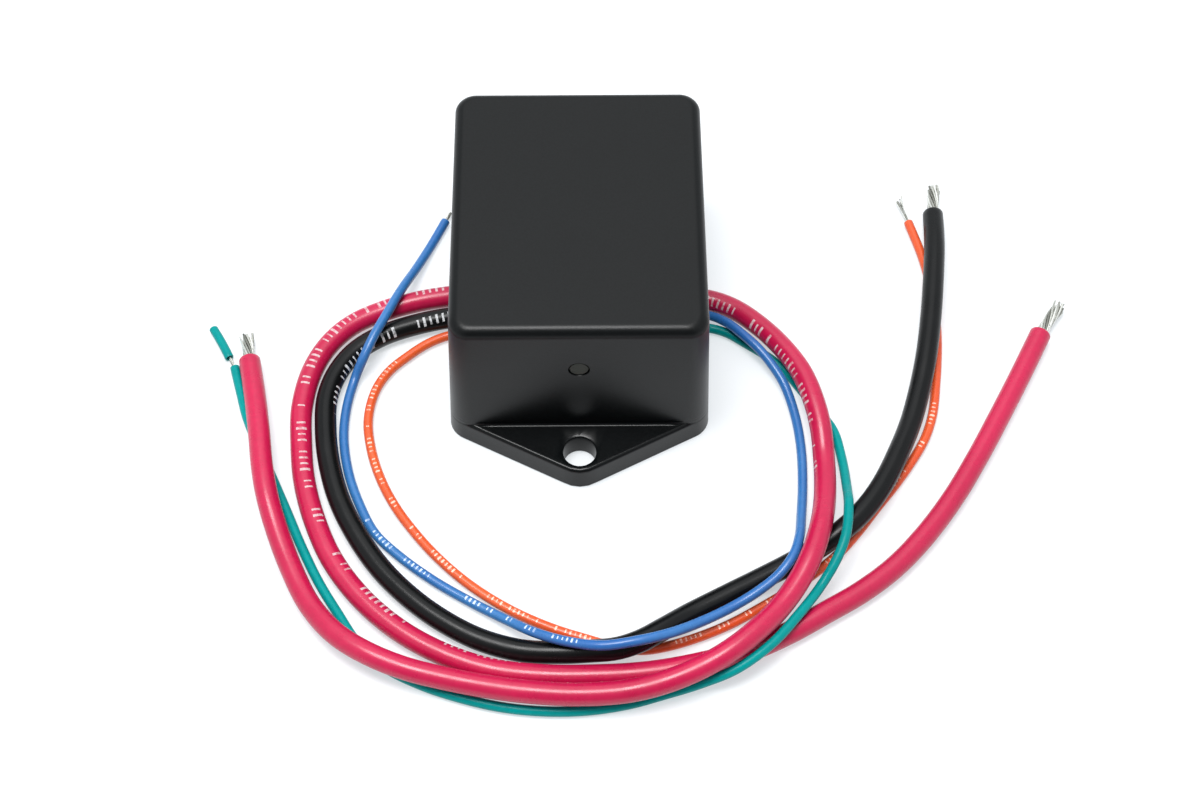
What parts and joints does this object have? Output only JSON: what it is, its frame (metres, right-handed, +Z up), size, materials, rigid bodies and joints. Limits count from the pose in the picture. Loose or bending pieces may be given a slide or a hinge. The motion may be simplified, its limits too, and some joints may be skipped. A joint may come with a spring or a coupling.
{
  "type": "whole house surge protector",
  "caption": "Potted surge protector module in a moulded box with a screw ear at each end; coloured hook-up leads with bare stranded ends leave through the bottom rim of both side walls.",
  "frame": {"origin": "centre of the box footprint on the mounting surface", "axes": "+Z up away from the mounting surface, -Y towards the front screw ear, +X to the right seen from the front"},
  "size_m": [0.1831, 0.1362, 0.0372],
  "materials": {
    "case_plastic": "fine moulded grain, black",
    "potting": "glossy self-levelled epoxy, black",
    "board": "green solder mask",
    "varistor_coat": "dipped epoxy coat, blue",
    "light_plastic": "moulded plastic, off-white",
    "dark_plastic": "moulded plastic, black",
    "ceramic_body": "fired ceramic, cream",
    "ferrite": "sintered ferrite, dark grey",
    "brass_tab": "stamped brass, satin",
    "red_wire": "extruded PVC, crimson, satin",
    "black_wire": "extruded PVC, black, satin",
    "blue_wire": "extruded PVC, blue, satin",
    "orange_wire": "extruded PVC, orange, satin",
    "green_wire": "extruded PVC, blue-green, satin",
    "tinned_copper": "bare tinned copper strands"
  },
  "bodies": {
    "root": {"housing": "case_plastic", "potting_compound": "potting", "circuit_board": "board", "varistor_1": "varistor_coat", "varistor_2": "varistor_coat", "varistor_3": "varistor_coat", "varistor_4": "varistor_coat", "thermal_fuse_1": "light_plastic", "thermal_fuse_2": "light_plastic", "thermal_fuse_3": "light_plastic", "resistor_1": "ceramic_body", "resistor_2": "ceramic_body", "resistor_3": "ceramic_body", "gas_discharge_tube": "ceramic_body", "film_capacitor_1": "light_plastic", "film_capacitor_2": "light_plastic", "status_relay": "dark_plastic", "filter_choke": "ferrite", "bridge_rectifier": "dark_plastic", "red_lead_a": "red_wire", "red_lead_a_strands": "tinned_copper", "red_lead_a_tab": "brass_tab", "red_lead_b": "red_wire", "red_lead_b_strands": "tinned_copper", "red_lead_b_tab": "brass_tab", "black_lead": "black_wire", "black_lead_strands": "tinned_copper", "black_lead_tab": "brass_tab", "blue_lead": "blue_wire", "blue_lead_strands": "tinned_copper", "blue_lead_tab": "brass_tab", "orange_lead": "orange_wire", "orange_lead_strands": "tinned_copper", "orange_lead_tab": "brass_tab", "green_lead": "green_wire", "green_lead_strands": "tinned_copper", "green_lead_tab": "brass_tab", "green_insulation_slug": "green_wire"}
  },
  "joints": []
}
